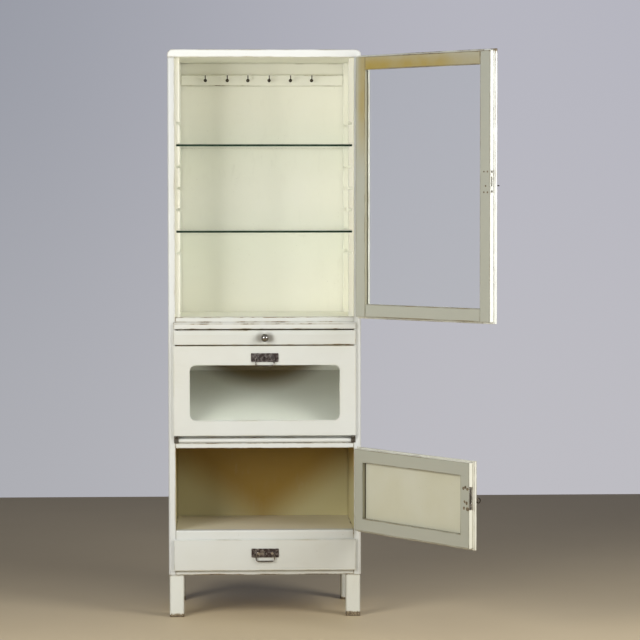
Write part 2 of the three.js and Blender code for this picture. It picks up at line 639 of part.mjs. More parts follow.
// Flap hinges: a fixed knuckle with a pin on each side, and an arm let into the flap's lower edge
const flapHingeEnd = lipHalf - FLAP_HINGE_INSET;
const flapKnuckleRadius = FLAP_GAP / 2 - FLAP_KNUCKLE_CLEARANCE;
const flapArmSlots = [];
for (const [sideName, side] of [["left", -1], ["right", 1]]) {
  const armOuter = flapHingeEnd - FLAP_KNUCKLE_WIDTH - SEAT_GAP;
  const armInner = armOuter - FLAP_KNUCKLE_WIDTH;
  const fixedX = [side * (flapHingeEnd - FLAP_KNUCKLE_WIDTH), side * flapHingeEnd];
  const armX = [side * armInner, side * armOuter];
  const stemTop = flapBottom + FLAP_STEM_LENGTH;
  const fixed = join(
    rodX(flapKnuckleRadius, fixedX, flapHingeY, flapHingeZ),
    rodX(FLAP_PIN_RADIUS, [side * armInner, side * (flapHingeEnd - FLAP_PIN_RADIUS)], flapHingeY, flapHingeZ),
    block(fixedX, [flapHingeY, front], [middleTop - FLAP_PLATE_THICKNESS, flapHingeZ]),
    block([side * armInner, side * flapHingeEnd], [front - FLAP_PLATE_THICKNESS, front],
      [roundRailBottom, middleTop]),
  );
  const arm = join(
    rodX(flapKnuckleRadius, armX, flapHingeY, flapHingeZ),
    block(armX, about(flapHingeY, FLAP_PLATE_THICKNESS), [flapHingeZ, stemTop]),
  );
  const boreX = [side * (armInner - CUT_OVERRUN), side * (armOuter + CUT_OVERRUN)];
  const bore = rodX(FLAP_PIN_RADIUS + SEAT_GAP, boreX, flapHingeY, flapHingeZ);
  flapArmSlots.push(block(
    [side * (armInner - SEAT_GAP), side * (armOuter + SEAT_GAP)],
    about(flapHingeY, FLAP_PLATE_THICKNESS, SEAT_GAP),
    [flapBottom - CUT_OVERRUN, stemTop + SEAT_GAP],
  ));
  place(cabinet, `flap_hinge_frame_${sideName}`, fixed, darkMetal);
  place(cabinet, `flap_hinge_arm_${sideName}`, cut(arm, bore), darkMetal);
}

// Flap: one lipped board with a round-cornered window and its pane
const windowX = [-WINDOW_WIDTH / 2, WINDOW_WIDTH / 2];
const windowZ = [flapBottom + WINDOW_RISE, flapBottom + WINDOW_RISE + WINDOW_HEIGHT];
const windowShape = roundedRectangle(windowX, windowZ, WINDOW_ROUND);
const flapBoard = lippedBoard(
  [-lipHalf, lipHalf],
  [flapBottom, flapTop],
  [-bodyHalf, bodyHalf],
  [flapBottom + LIP_END_LAP, flapTop - LIP_END_LAP],
);
const flapPanel = cut(
  flapBoard,
  alongY(windowShape, [lipFront - CUT_OVERRUN, bodyRear + CUT_OVERRUN]),
  sheetIn(windowX[1], windowZ, glassFront, GLASS_THICKNESS, SEAT_GAP),
  ...flapArmSlots,
);
place(cabinet, "flap_panel", flapPanel, paint);
place(cabinet, "flap_glass", sheetIn(windowX[1], windowZ, glassFront, GLASS_THICKNESS, 0), clearGlass);

// Handle plates with two posts, and the wire bails that swing in them
const plateFace = lipFront - PLATE_THICKNESS;
const bailY = plateFace - POST_LENGTH / 2;
const bailHalf = POST_SPACING / 2 + POST_RADIUS + BAIL_SIDE_GAP + BAIL_WIRE_RADIUS;
const postXs = [-POST_SPACING / 2, POST_SPACING / 2];

function handlePlate(z) {
  const plate = roundedRectangle(about(0, PLATE_WIDTH), about(z, PLATE_HEIGHT), PLATE_ROUND);
  const posts = postXs.map((x) => rodY(POST_RADIUS, x, [plateFace - POST_LENGTH, lipFront], z));
  const borePad = POST_RADIUS + CUT_OVERRUN;
  const bores = postXs.map((x) =>
    rodX(BAIL_WIRE_RADIUS + SEAT_GAP, [x - borePad, x + borePad], bailY, z));
  const keyhole = [
    rodY(KEYHOLE_RADIUS, 0, [plateFace - CUT_OVERRUN, lipFront + CUT_OVERRUN], z),
    block(about(0, KEYHOLE_SLOT_WIDTH), [plateFace - CUT_OVERRUN, lipFront + CUT_OVERRUN],
      [z - KEYHOLE_SLOT_LENGTH, z]),
  ];
  return cut(join(alongY(plate, [plateFace, lipFront]), ...posts), ...bores, ...keyhole);
}

function handleBail(z) {
  const at = (x, drop) => new THREE.Vector3(x, bailY, z - drop);
  const stubEnd = POST_SPACING / 2 - POST_RADIUS;
  const eye = BAIL_WIRE_RADIUS;
  const path = new THREE.CurvePath();
  path.add(new THREE.LineCurve3(at(-stubEnd, 0), at(eye - bailHalf, 0)));
  path.add(new THREE.QuadraticBezierCurve3(at(eye - bailHalf, 0), at(-bailHalf, 0), at(-bailHalf, eye)));
  path.add(new THREE.LineCurve3(at(-bailHalf, eye), at(-bailHalf, BAIL_DROP - BAIL_BEND)));
  path.add(new THREE.QuadraticBezierCurve3(
    at(-bailHalf, BAIL_DROP - BAIL_BEND), at(-bailHalf, BAIL_DROP), at(BAIL_BEND - bailHalf, BAIL_DROP)));
  path.add(new THREE.LineCurve3(at(BAIL_BEND - bailHalf, BAIL_DROP), at(bailHalf - BAIL_BEND, BAIL_DROP)));
  path.add(new THREE.QuadraticBezierCurve3(
    at(bailHalf - BAIL_BEND, BAIL_DROP), at(bailHalf, BAIL_DROP), at(bailHalf, BAIL_DROP - BAIL_BEND)));
  path.add(new THREE.LineCurve3(at(bailHalf, BAIL_DROP - BAIL_BEND), at(bailHalf, eye)));
  path.add(new THREE.QuadraticBezierCurve3(at(bailHalf, eye), at(bailHalf, 0), at(bailHalf - eye, 0)));
  path.add(new THREE.LineCurve3(at(bailHalf - eye, 0), at(stubEnd, 0)));
  const wire = new THREE.Shape().absarc(0, 0, BAIL_WIRE_RADIUS, 0, 2 * Math.PI);
  return new THREE.ExtrudeGeometry(wire, {
    extrudePath: path,
    steps: BAIL_STEPS,
    curveSegments: WIRE_SEGMENTS,
    bevelEnabled: false,
  });
}

const drawerLipZ = [bottomTop - LIP_END_LAP, drawerOpeningTop + LIP_END_LAP];
const plateHeights = { flap: flapTop - FLAP_PLATE_DROP, drawer: drawerLipZ[0] + DRAWER_PLATE_RISE };
for (const [owner, z] of Object.entries(plateHeights)) {
  place(cabinet, `${owner}_handle_plate`, handlePlate(z), darkMetal);
  place(cabinet, `${owner}_handle_bail`, handleBail(z), darkMetal);
}

// Drawer: a lipped front with a box behind it that slides on the bottom board
const drawerHalf = innerHalf - DRAWER_SIDE_CLEARANCE;
const drawerInner = drawerHalf - DRAWER_SIDE_THICKNESS;
const drawerRear = backFace - DRAWER_REAR_GAP;
const drawerBase = bottomTop + SEAT_GAP;
const drawerSideZ = [drawerBase, drawerBase + DRAWER_SIDE_HEIGHT];
const drawerFront = lippedBoard(
  [-lipHalf, lipHalf],
  drawerLipZ,
  [-drawerHalf, drawerHalf],
  [bottomTop + BODY_CLEARANCE, drawerOpeningTop - BODY_CLEARANCE],
);
const drawerBackFace = drawerRear - DRAWER_SIDE_THICKNESS;
const drawerBottomZ = [
  drawerBase + DRAWER_BOTTOM_RISE,
  drawerBase + DRAWER_BOTTOM_RISE + DRAWER_BOTTOM_THICKNESS,
];
place(cabinet, "drawer_front", drawerFront, paint);
for (const [sideName, side] of [["left", -1], ["right", 1]]) {
  const drawerSide = block([side * drawerInner, side * drawerHalf], [bodyRear, drawerRear], drawerSideZ);
  place(cabinet, `drawer_side_${sideName}`, drawerSide, bareWood);
}
const drawerInside = [-drawerInner, drawerInner];
place(cabinet, "drawer_back", block(drawerInside, [drawerBackFace, drawerRear], drawerSideZ), bareWood);
place(cabinet, "drawer_bottom", block(drawerInside, [bodyRear, drawerBackFace], drawerBottomZ), bareWood);

// Pull-out board in grooved runners, with a lipped front and a turned knob
const boardZ = [
  pulloutBottom + PULLOUT_BOARD_RISE,
  pulloutBottom + PULLOUT_BOARD_RISE + PULLOUT_BOARD_THICKNESS,
];
const runnerFace = innerHalf - RUNNER_WIDTH;
const grooveEnd = runnerFace + RUNNER_GROOVE_DEPTH;
for (const [sideName, side] of [["left", -1], ["right", 1]]) {
  const channelShape = outline([
    [side * innerHalf, boardZ[0] - SEAT_GAP - RUNNER_WALL],
    [side * innerHalf, boardZ[1] + SEAT_GAP + RUNNER_WALL],
    [side * runnerFace, boardZ[1] + SEAT_GAP + RUNNER_WALL],
    [side * runnerFace, boardZ[1] + SEAT_GAP],
    [side * grooveEnd, boardZ[1] + SEAT_GAP],
    [side * grooveEnd, boardZ[0] - SEAT_GAP],
    [side * runnerFace, boardZ[0] - SEAT_GAP],
    [side * runnerFace, boardZ[0] - SEAT_GAP - RUNNER_WALL],
  ]);
  const runner = alongY(channelShape, [front + RUNNER_SETBACK, backFace]);
  place(cabinet, `pullout_runner_${sideName}`, runner, bareWood);
}
const boardHalf = grooveEnd - SEAT_GAP;
const boardY = [lipRear, backFace - PULLOUT_REAR_GAP];
place(cabinet, "pullout_board", block([-boardHalf, boardHalf], boardY, boardZ), innerPaint);
const pulloutOutline = outline([
  [lipRear, pulloutBottom],
  [lipRear, pulloutTop],
  [lipFront + PULLOUT_CHAMFER_DEPTH, pulloutTop],
  [lipFront, pulloutTop - PULLOUT_CHAMFER_HEIGHT],
  [lipFront, pulloutBottom],
]);
place(cabinet, "pullout_front", alongX(pulloutOutline, [-lipHalf, lipHalf]), paint);

const knobCentre = KNOB_BASE_THICKNESS + KNOB_NECK_LENGTH + KNOB_RADIUS;
const neckAngle = Math.asin(KNOB_NECK_RADIUS / KNOB_RADIUS);
const ballProfile = new THREE.EllipseCurve(
  0, knobCentre, KNOB_RADIUS, KNOB_RADIUS, neckAngle - Math.PI / 2, Math.PI / 2);
const knobProfile = [
  new THREE.Vector2(0, 0),
  new THREE.Vector2(KNOB_BASE_RADIUS, 0),
  new THREE.Vector2(KNOB_BASE_RADIUS, KNOB_BASE_THICKNESS),
  new THREE.Vector2(KNOB_NECK_RADIUS, KNOB_BASE_THICKNESS),
  ...ballProfile.getPoints(2 * ARC_SEGMENTS).slice(0, -1),
  new THREE.Vector2(0, knobCentre + KNOB_RADIUS),
];
const knob = new THREE.LatheGeometry(knobProfile, KNOB_SEGMENTS);
knob.rotateX(Math.PI);
const knobZ = (pulloutBottom + pulloutTop) / 2;
place(cabinet, "pullout_knob", knob.translate(0, lipFront, knobZ), brightMetal);

export default cabinet;
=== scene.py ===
from math import cos, pi, radians, sin

import bmesh
import bpy
from mathutils import Matrix, Vector


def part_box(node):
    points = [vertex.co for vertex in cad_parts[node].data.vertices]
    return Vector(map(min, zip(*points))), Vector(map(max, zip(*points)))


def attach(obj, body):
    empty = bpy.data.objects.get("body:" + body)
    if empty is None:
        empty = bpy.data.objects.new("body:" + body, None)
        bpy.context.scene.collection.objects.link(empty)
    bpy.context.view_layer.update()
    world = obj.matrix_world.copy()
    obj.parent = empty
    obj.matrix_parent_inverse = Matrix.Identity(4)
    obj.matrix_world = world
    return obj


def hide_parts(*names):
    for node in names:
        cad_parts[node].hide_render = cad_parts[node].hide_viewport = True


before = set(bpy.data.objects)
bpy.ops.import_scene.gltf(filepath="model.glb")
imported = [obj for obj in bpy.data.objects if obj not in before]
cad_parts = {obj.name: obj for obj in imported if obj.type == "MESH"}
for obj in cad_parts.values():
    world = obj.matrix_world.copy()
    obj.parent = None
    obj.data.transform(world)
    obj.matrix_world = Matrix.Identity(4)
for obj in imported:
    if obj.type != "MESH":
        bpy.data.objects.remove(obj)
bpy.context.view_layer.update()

scene = bpy.context.scene
scene.view_settings.view_transform = "Standard"

# Camera
# A long lens stands far back, a little left of the cabinet and level with its upper half.
# It looks slightly to the right and down.
PICTURE_WIDTH = 640
FOCAL_PIXELS = 2633.4
CAMERA_PLACE = Vector((-0.1457, -7.6791, 1.2005))
camera_data = bpy.data.cameras.new("camera")
camera_data.sensor_width = 36
camera_data.lens = camera_data.sensor_width * FOCAL_PIXELS / PICTURE_WIDTH
camera_data.clip_end = 60
camera = bpy.data.objects.new("camera", camera_data)
scene.collection.objects.link(camera)
yaw, pitch, roll = radians(2.318), radians(2.669), radians(-0.052)
sight = Vector((sin(yaw) * cos(pitch), cos(yaw) * cos(pitch), -sin(pitch)))
level = Vector((cos(yaw), -sin(yaw), 0))
upright = level.cross(sight)
across = cos(roll) * level + sin(roll) * upright
upright = across.cross(sight)
facing = Matrix((across, upright, -sight)).transposed().to_4x4()
camera.matrix_world = Matrix.Translation(CAMERA_PLACE) @ facing
scene.camera = camera

# Studio light
# Two softboxes stand at the left and right in front of the cabinet, and a wide one hangs above.
# A dim even room light fills the shadows, and the room behind the camera is dark.
LIT_PLACE = (0, -0.1, 1.0)


def softbox(name, place, width, height, power, aim=LIT_PLACE):
    lamp = bpy.data.lights.new(name, "AREA")
    lamp.shape = "RECTANGLE"
    lamp.size, lamp.size_y = width, height
    lamp.energy = power
    box = bpy.data.objects.new(name, lamp)
    box.location = place
    box.rotation_euler = (Vector(aim) - Vector(place)).to_track_quat("-Z", "Y").to_euler()
    scene.collection.objects.link(box)


softbox("softbox_left", (-1.4, -2.05, 1.3), width=1.1, height=1.3, power=44)
softbox("softbox_right", (1.76, -1.7, 1.4), width=1.1, height=1.3, power=43)
softbox("softbox_above", (0.0, -2.6, 3.9), width=3.2, height=1.8, power=20, aim=(0, 0, 1.0))


def srgb(red, green, blue):
    steps = [c / 255 for c in (red, green, blue)]
    return [c / 12.92 if c <= 0.04045 else ((c + 0.055) / 1.055) ** 2.4 for c in steps] + [1.0]


def linked(tree, kind, inputs=None, **settings):
    made = tree.nodes.new(kind)
    for setting, value in settings.items():
        setattr(made, setting, value)
    for socket, value in (inputs or {}).items():
        if isinstance(value, bpy.types.NodeSocket):
            tree.links.new(value, made.inputs[socket])
        else:
            made.inputs[socket].default_value = value
    return made


def maths(tree, operation, *values):
    return linked(tree, "ShaderNodeMath", dict(enumerate(values)), operation=operation).outputs[0]


def mixed(tree, share, under, over):
    made = linked(tree, "ShaderNodeMix", {0: share, 6: under, 7: over}, data_type="RGBA")
    return made.outputs[2]


def ramped(tree, value, low, high):
    inputs = {0: value, 1: low, 2: high, 3: 0.0, 4: 1.0}
    return linked(tree, "ShaderNodeMapRange", inputs, interpolation_type="SMOOTHSTEP").outputs[0]


def parted(tree, vector):
    return linked(tree, "ShaderNodeSeparateXYZ", {0: vector}).outputs[:3]


world = bpy.data.worlds.new("room")
world.use_nodes = True
scene.world = world
room = world.node_tree
room.nodes.clear()
ray = linked(room, "ShaderNodeLightPath")
seen = maths(room, "MAXIMUM", ray.outputs["Is Camera Ray"], ray.outputs["Is Transmission Ray"])
seen = maths(room, "MAXIMUM", seen, ray.outputs["Is Glossy Ray"])
aside, ahead, rise = parted(room, linked(room, "ShaderNodeTexCoord").outputs["Generated"])
rise = ramped(room, rise, -0.13, 0.1)
# The wall seen behind the cabinet is painted darker towards its top and its left, as painted shade.
left_wall = mixed(room, rise, srgb(172, 173, 179), srgb(150, 153, 163))
right_wall = mixed(room, rise, srgb(190, 189, 195), srgb(182, 182, 192))
wall_colour = mixed(room, ramped(room, aside, -0.13, 0.12), left_wall, right_wall)
room_colour = mixed(room, ramped(room, ahead, -0.5, 0.2), srgb(52, 52, 56), wall_colour)
wall_light = linked(room, "ShaderNodeBackground", {0: room_colour, 1: 1.0}).outputs[0]
fill_light = linked(room, "ShaderNodeBackground", {0: (0.96, 0.98, 1.0, 1.0), 1: 0.05}).outputs[0]
shown = linked(room, "ShaderNodeMixShader", {0: seen, 1: fill_light, 2: wall_light}).outputs[0]
linked(room, "ShaderNodeOutputWorld", {0: shown})

# Floor
# A plain pale studio floor runs under the cabinet and ends behind it, where the grey wall begins.
# It isn't part of the cabinet.
FLOOR_WIDTH, FLOOR_DEPTH, FLOOR_MIDDLE = 16, 9.0, -1.63
bm = bmesh.new()
bmesh.ops.create_grid(bm, x_segments=1, y_segments=1, size=0.5)
bmesh.ops.scale(bm, vec=(FLOOR_WIDTH, FLOOR_DEPTH, 1), verts=bm.verts)
bmesh.ops.translate(bm, vec=(0, FLOOR_MIDDLE, 0), verts=bm.verts)
floor_mesh = bpy.data.meshes.new("floor")
bm.to_mesh(floor_mesh)
bm.free()
floor = bpy.data.objects.new("floor", floor_mesh)
scene.collection.objects.link(floor)


def cloud(tree, place, scale, detail=3.0, roughness=0.55):
    inputs = {"Vector": place, "Scale": scale, "Detail": detail, "Roughness": roughness}
    return linked(tree, "ShaderNodeTexNoise", inputs).outputs[0]


def stretched(tree, place, x, y, z):
    return linked(tree, "ShaderNodeMapping", {"Vector": place, "Scale": (x, y, z)}).outputs[0]


def fresh_material(name):
    material = bpy.data.materials.new(name)
    material.use_nodes = True
    material.node_tree.nodes.clear()
    return material, material.node_tree


def finished(tree, inputs):
    surface = linked(tree, "ShaderNodeBsdfPrincipled", inputs).outputs[0]
    linked(tree, "ShaderNodeOutputMaterial", {0: surface})


floor_paint, tree = fresh_material("floor_paint")
place = linked(tree, "ShaderNodeTexCoord").outputs["Object"]
patch = cloud(tree, place, 1.7, 4.0)
finished(tree, {
    "Base Color": mixed(tree, patch, srgb(192, 174, 141), srgb(202, 185, 153)),
    "Roughness": 0.6,
})
floor_mesh.materials.append(floor_paint)

# Side panels, top board, floors, back and legs
# Solid boards, painted in many coats of white enamel that has yellowed inside and chipped at the edges.
# Painted shadows darken parts of the inside, and the slope behind the flap is painted lighter higher up.
# Each takes its shape from the frame, with the paint's soft edges and a narrow worn border added.
HINGE_AXIS = Vector((0.2643, -0.185, 0.0))
SWING = {"upper_door": radians(132.7), "lower_door": radians(124.4)}
SHARP_BEND, FLAT_BEND = radians(35), radians(2)
NARROW_FACET = 0.006
AREA_SLACK = 5e-6


def closed_place(body):
    turn = Matrix.Rotation(-SWING.get(body, 0.0), 4, "Z")
    return Matrix.Translation(HINGE_AXIS) @ turn @ Matrix.Translation(-HINGE_AXIS)


def soften(bm, width, arc):
    sharp = []
    for edge in bm.edges:
        bend = edge.calc_face_angle(0)
        if bend > SHARP_BEND:
            sharp.append(edge)
        elif bend > FLAT_BEND:
            for face in edge.link_faces:
                longest = max(e.calc_length() for e in face.edges)
                face[arc] = int(face.calc_area() / longest < NARROW_FACET)
    made = bmesh.ops.bevel(
        bm, geom=sharp, offset=width, offset_type="OFFSET", segments=2, profile=0.5,
        affect="EDGES", material=-1, clamp_overlap=True)
    rims = set(made["faces"])
    for face in bm.faces:
        face.smooth = face in rims or bool(face[arc])
    return rims


def drawn_area(bm):
    corners = [[loop.vert.co for loop in three] for three in bm.calc_loop_triangles()]
    return sum((b - a).cross(c - a).length / 2 for a, b, c in corners)


def inset_ring(bm, faces, depth):
    return bmesh.ops.inset_region(
        bm, faces=faces, thickness=depth, use_boundary=True, use_even_offset=True)["faces"]


def inset_fits(bm, group, depth):
    bm.faces.index_update()
    trial = bm.copy()
    trial.faces.ensure_lookup_table()
    faces = [trial.faces[face.index] for face in group]
    before = drawn_area(trial)
    inset_ring(trial, faces, depth)
    after = drawn_area(trial)
    trial.free()
    return abs(after - before) < AREA_SLACK


def border(bm, rims, reach, worn):
    for face in rims:
        for loop in face.loops:
            loop[worn] = 1.0
    waiting = {face for face in bm.faces if face not in rims}
    groups = []
    while waiting:
        stack = [waiting.pop()]
        group = []
        while stack:
            face = stack.pop()
            group.append(face)
            for edge in face.edges:
                for other in edge.link_faces:
                    if other in waiting:
                        waiting.remove(other)
                        stack.append(other)
        groups.append(group)
    for group in groups:
        own = set(group)
        outline = [e for f in group for e in f.edges if any(o not in own for o in e.link_faces)]
        if not outline:
            continue
        area = sum(f.calc_area() for f in group)
        depth = min(reach, 0.6 * area / sum(e.calc_length() for e in outline))
        depth = next((d for d in (depth, depth / 2, depth / 4) if inset_fits(bm, group, d)), None)
        if not depth:
            continue
        for face in inset_ring(bm, group, depth):
            for loop in face.loops:
                loop[worn] = float(any(other in rims for other in loop.vert.link_faces))


def as_piece(bm, name, material, body):
    mesh = bpy.data.meshes.new(name)
    bm.to_mesh(mesh)
    bm.free()
    mesh.materials.append(material)
    piece = bpy.data.objects.new(name, mesh)
    scene.collection.objects.link(piece)
    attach(piece, body)
    return piece


def dressed(node, material, body, width, reach=0.0):
    bm = bmesh.new()
    bm.from_mesh(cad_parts[node].data)
    bmesh.ops.remove_doubles(bm, verts=bm.verts[:], dist=5e-6)
    bmesh.ops.dissolve_limit(bm, angle_limit=radians(0.5), verts=bm.verts[:], edges=bm.edges[:])
    arc = bm.faces.layers.int.new("arc")
    worn = bm.loops.layers.float.new("worn")
    closed = bm.verts.layers.float_vector.new("closed")
    rims = soften(bm, width, arc)
    if reach:
        border(bm, rims, reach, worn)
    home = closed_place(body)
    for vert in bm.verts:
        vert[closed] = home @ vert.co
    bm.faces.layers.int.remove(arc)
    piece = as_piece(bm, f"{node}_finish", material, body)
    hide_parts(node)
    return piece


def times(tree, *values):
    product = values[0]
    for value in values[1:]:
        product = maths(tree, "MULTIPLY", product, value)
    return product


def plus(tree, *values):
    total = values[0]
    for value in values[1:]:
        total = maths(tree, "ADD", total, value)
    return total


def without(tree, value):
    return maths(tree, "SUBTRACT", 1.0, value)


INNER_HALF, INNER_BACK, CEILING = 0.2558, 0.1735, 1.5985
LOW_FLOOR_TOP, LOW_CEILING, FLAP_CEILING, UPPER_FLOOR = 0.3, 0.5, 0.75, 0.83


# Yellowed inside paint, with painted shadows in the lower compartment and on the slope behind the flap.
def yellowed_and_shaded_inside(tree, place, colour, broad, start):
    x, y, z = parted(tree, place)
    span = maths(tree, "ABSOLUTE", x)
    facing = parted(tree, linked(tree, "ShaderNodeNewGeometry").outputs["Normal"])[2]
    within = times(tree, maths(tree, "LESS_THAN", span, INNER_HALF), ramped(tree, y, start, start + 0.001),
                   maths(tree, "LESS_THAN", z, CEILING), maths(tree, "LESS_THAN", y, INNER_BACK))

    # The lower compartment is painted with a wide V of brown shadow from its ceiling down to the middle of
    # its floor, and undersides below the flap's ceiling take the same painted shade; its floor keeps the
    # plain paint.
    shadow_arch = plus(tree, z, times(tree, maths(tree, "SUBTRACT", 0.255, span), 0.75))
    low = mixed(tree, ramped(tree, shadow_arch, 0.34, 0.5), srgb(198, 189, 142), srgb(168, 137, 62))
    shaded_underside = times(tree, maths(tree, "LESS_THAN", facing, -0.3), maths(tree, "LESS_THAN", z, FLAP_CEILING))
    shelf = times(tree, maths(tree, "GREATER_THAN", facing, 0.7), maths(tree, "LESS_THAN", z, LOW_FLOOR_TOP))
    shelf_colour = mixed(tree, broad, srgb(224, 218, 194), srgb(216, 206, 176))

    # The slope behind the flap is painted lighter towards its upper end, as painted light, and has a painted
    # shadow in a shallow bow along that end.
    bow = without(tree, maths(tree, "POWER", maths(tree, "DIVIDE", span, 0.2), 2.0))
    bow_shadow_peak = plus(tree, z, times(tree, bow, 0.07))
    middle = mixed(tree, ramped(tree, z, 0.6, 0.7), srgb(198, 198, 187), srgb(240, 239, 228))
    middle = mixed(tree, ramped(tree, bow_shadow_peak, 0.69, 0.75), middle, srgb(126, 108, 72))

    upper = mixed(tree, broad, srgb(243, 242, 229), srgb(239, 237, 218))
    inner = mixed(tree, ramped(tree, z, LOW_CEILING - 0.005, LOW_CEILING + 0.005), low, middle)
    inner = mixed(tree, shaded_underside, inner, low)
    inner = mixed(tree, shelf, inner, shelf_colour)
    inner = mixed(tree, ramped(tree, z, UPPER_FLOOR - 0.01, UPPER_FLOOR + 0.01), inner, upper)
    return mixed(tree, within, colour, inner)


ALONG_Z, ALONG_X = (70, 70, 5), (5, 70, 70)


def enamel(name, white, aged, wear=0.0, inside=None, brushed=ALONG_Z, tone=None, bruise=None, grime=0.2):
    material, tree = fresh_material(name)
    place = linked(tree, "ShaderNodeTexCoord").outputs["Object"]
    broad = cloud(tree, place, 2.6, 4.0)
    stretch = cloud(tree, place, 11.0, 3.0, 0.6)
    drawn = stretched(tree, place, *[0.3 if rate < 10 else 1.0 for rate in brushed])
    flake = cloud(tree, drawn, 60.0, 8.0, 0.68)
    crumb = cloud(tree, place, 240.0, 4.0, 0.6)
    brush = cloud(tree, stretched(tree, place, *brushed), 5.0, 3.0)
    peel = cloud(tree, place, 520.0, 2.0)

    colour = mixed(tree, ramped(tree, broad, 0.3, 0.72), srgb(*white), srgb(*aged))
    if inside:
        colour = yellowed_and_shaded_inside(tree, place, colour, broad, inside)
    if tone:
        colour = tone(tree, place, colour)

    edge = linked(tree, "ShaderNodeAttribute", attribute_name="worn").outputs["Fac"]
    knocks = times(tree, maths(tree, "SUBTRACT", flake, 0.5), 1.5)
    hands = times(tree, maths(tree, "SUBTRACT", stretch, 0.5), 2.0)
    damage = plus(tree, edge, knocks, hands, wear)
    if bruise:
        damage = plus(tree, damage, bruise(tree, place))
    chip = ramped(tree, damage, 1.06, 1.14)
    halo = ramped(tree, damage, 0.8, 1.1)
    rub = times(tree, edge, ramped(tree, stretch, 0.4, 0.75))
    speck = times(tree, ramped(tree, crumb, 0.68, 0.73), ramped(tree, stretch, 0.5, 0.64))
    smudge = times(tree, ramped(tree, flake, 0.5, 0.8), ramped(tree, broad, 0.45, 0.7))
    dirt = plus(tree, 0.35, times(tree, ramped(tree, stretch, 0.4, 0.6), 0.65))
    dirt = times(tree, dirt, ramped(tree, edge, 0.3, 0.95), grime)

    colour = mixed(tree, times(tree, smudge, 0.3), colour, srgb(190, 186, 168))
    colour = mixed(tree, times(tree, rub, 0.4), colour, srgb(192, 183, 150))
    colour = mixed(tree, dirt, colour, srgb(104, 92, 66))
    colour = mixed(tree, times(tree, halo, 0.5), colour, srgb(166, 154, 124))
    bare = mixed(tree, ramped(tree, crumb, 0.4, 0.6), srgb(140, 126, 100), srgb(88, 74, 55))
    colour = mixed(tree, chip, colour, bare)
    colour = mixed(tree, times(tree, speck, 0.6), colour, srgb(112, 98, 74))

    height = plus(tree, times(tree, brush, 0.5), times(tree, peel, 0.12))
    height = maths(tree, "SUBTRACT", height, times(tree, chip, 0.7))
    bump = linked(tree, "ShaderNodeBump", {"Height": height, "Strength": 0.3, "Distance": 0.0006})
    finished(tree, {
        "Base Color": colour,
        "Roughness": plus(tree, times(tree, broad, 0.15), times(tree, chip, 0.4), 0.27),
        "Normal": bump.outputs[0],
    })
    return material


def scuffed_feet(tree, place):
    height = parted(tree, place)[2]
    return times(tree, without(tree, ramped(tree, height, 0.004, 0.03)), 1.3)


FRONT_EDGE, RAIL_REAR = -0.1796, -0.15
BOARD_EDGE, BACK_EDGE, SOFT_EDGE, BOARD_WEAR = 0.0015, 0.0012, 0.002, 0.005
carcass_enamel = enamel("carcass_enamel", (210, 212, 209), (206, 207, 200), -0.32, inside=FRONT_EDGE)
top_enamel = enamel("top_board_enamel", (230, 231, 228), (227, 228, 220), -0.3, inside=FRONT_EDGE,
                    brushed=ALONG_X)
board_enamel = enamel("board_enamel", (209, 211, 206), (204, 204, 195), 0.05, inside=RAIL_REAR,
                      brushed=ALONG_X, grime=0.4)
leg_enamel = enamel("leg_enamel", (216, 218, 210), (211, 211, 199), -0.1, bruise=scuffed_feet)
for node in ("side_panel_left", "side_panel_right"):
    dressed(node, carcass_enamel, "carcass", BOARD_EDGE, BOARD_WEAR)
dressed("top_board", top_enamel, "carcass", SOFT_EDGE, BOARD_WEAR)
for node in ("bottom_board", "middle_board"):
    dressed(node, board_enamel, "carcass", BOARD_EDGE, BOARD_WEAR)
dressed("back_panel", carcass_enamel, "carcass", BACK_EDGE, BOARD_WEAR)
for node in ("lower_floor_board", "upper_floor_board"):
    dressed(node, board_enamel, "carcass", BACK_EDGE, BOARD_WEAR)
for end in ("front", "rear"):
    for side in ("left", "right"):
        dressed(f"leg_{end}_{side}", leg_enamel, "carcass", SOFT_EDGE, BOARD_WEAR)

# Shelf racks and hook rail
# Painted strips, notched for the shelves and screwed to the side walls, and a plain rail under the ceiling.
# They have the same yellowed enamel as the inside.
RACK_EDGE, STRIP_WEAR = 0.0008, 0.004
rack_enamel = enamel("rack_enamel", (240, 239, 226), (235, 233, 214), -0.3)
for end in ("front", "rear"):
    for side in ("left", "right"):
        dressed(f"rack_{end}_{side}", rack_enamel, "carcass", RACK_EDGE)
dressed("hook_rail", rack_enamel, "carcass", BOARD_EDGE, STRIP_WEAR)

# Hooks
# Six wire hooks in dark metal, screwed in a row into the hook rail, each bent up at a right angle.
# A round collar covers each screw hole.
def metal(name, bright, dull, rough, tarnish=0.5, raised=None):
    material, tree = fresh_material(name)
    place = linked(tree, "ShaderNodeTexCoord").outputs["Object"]
    bloom = cloud(tree, place, 90.0, 6.0, 0.65)
    grit = cloud(tree, place, 700.0, 3.0)
    dulled = ramped(tree, bloom, 0.62 - tarnish * 0.4, 0.75 - tarnish * 0.2)
    if raised:
        proud = maths(tree, "LESS_THAN", parted(tree, place)[1], raised)
        dulled = times(tree, dulled, without(tree, proud))
    pit = ramped(tree, grit, 0.62, 0.7)
    colour = mixed(tree, dulled, srgb(*bright), srgb(*dull))
    relief = {"Height": plus(tree, bloom, grit), "Strength": 0.12, "Distance": 0.0004}
    bump = linked(tree, "ShaderNodeBump", relief)
    finished(tree, {
        "Base Color": mixed(tree, times(tree, pit, 0.4), colour, srgb(62, 54, 44)),
        "Metallic": 1.0,
        "Roughness": plus(tree, times(tree, dulled, 0.22), times(tree, pit, 0.12), rough),
        "Normal": bump.outputs[0],
    })
    return material


hook_metal = metal("hook_steel", (70, 62, 50), (40, 34, 27), 0.35)


